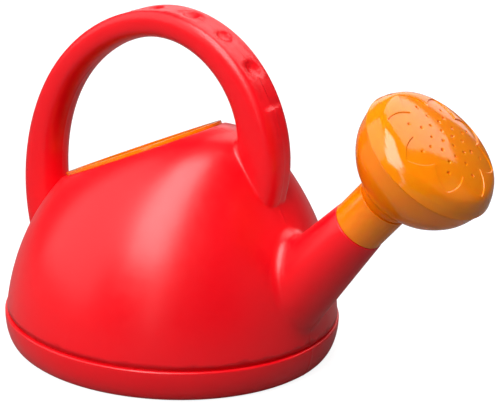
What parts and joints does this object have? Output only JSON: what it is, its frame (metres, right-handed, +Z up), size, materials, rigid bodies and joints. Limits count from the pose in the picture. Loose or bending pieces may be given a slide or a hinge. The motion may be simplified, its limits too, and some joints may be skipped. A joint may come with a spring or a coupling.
{
  "type": "toy watering can",
  "caption": "Small garden watering can with a domed body, arched handle, slanted filler opening, short spout and a perforated flower-faced rose that turns and pulls off.",
  "frame": {"origin": "centre of the round base, on the surface the can stands on", "axes": "+Z up, +X from the can toward the spout, Y = 0 is the plane of symmetry"},
  "size_m": [0.2676, 0.172, 0.1727],
  "materials": {
    "body_plastic": "satin",
    "trim_plastic": "gloss"
  },
  "bodies": {
    "can": {"can_body": "body_plastic", "filler_rim": "trim_plastic"},
    "sleeve": {"rose_sleeve": "trim_plastic"},
    "rose_head": {"rose_back": "trim_plastic", "rose_face": "trim_plastic"}
  },
  "joints": [
    {"name": "sleeve_pull_off", "type": "slide", "parent": "can", "child": "sleeve", "axis": [0.6401, 0, 0.7683], "range_m": [0, 0.012]},
    {"name": "rose_turn", "type": "hinge", "parent": "sleeve", "child": "rose_head", "pos_m": [0.1086, 0, 0.0864], "axis": [0.6401, 0, 0.7683], "continuous": true}
  ]
}
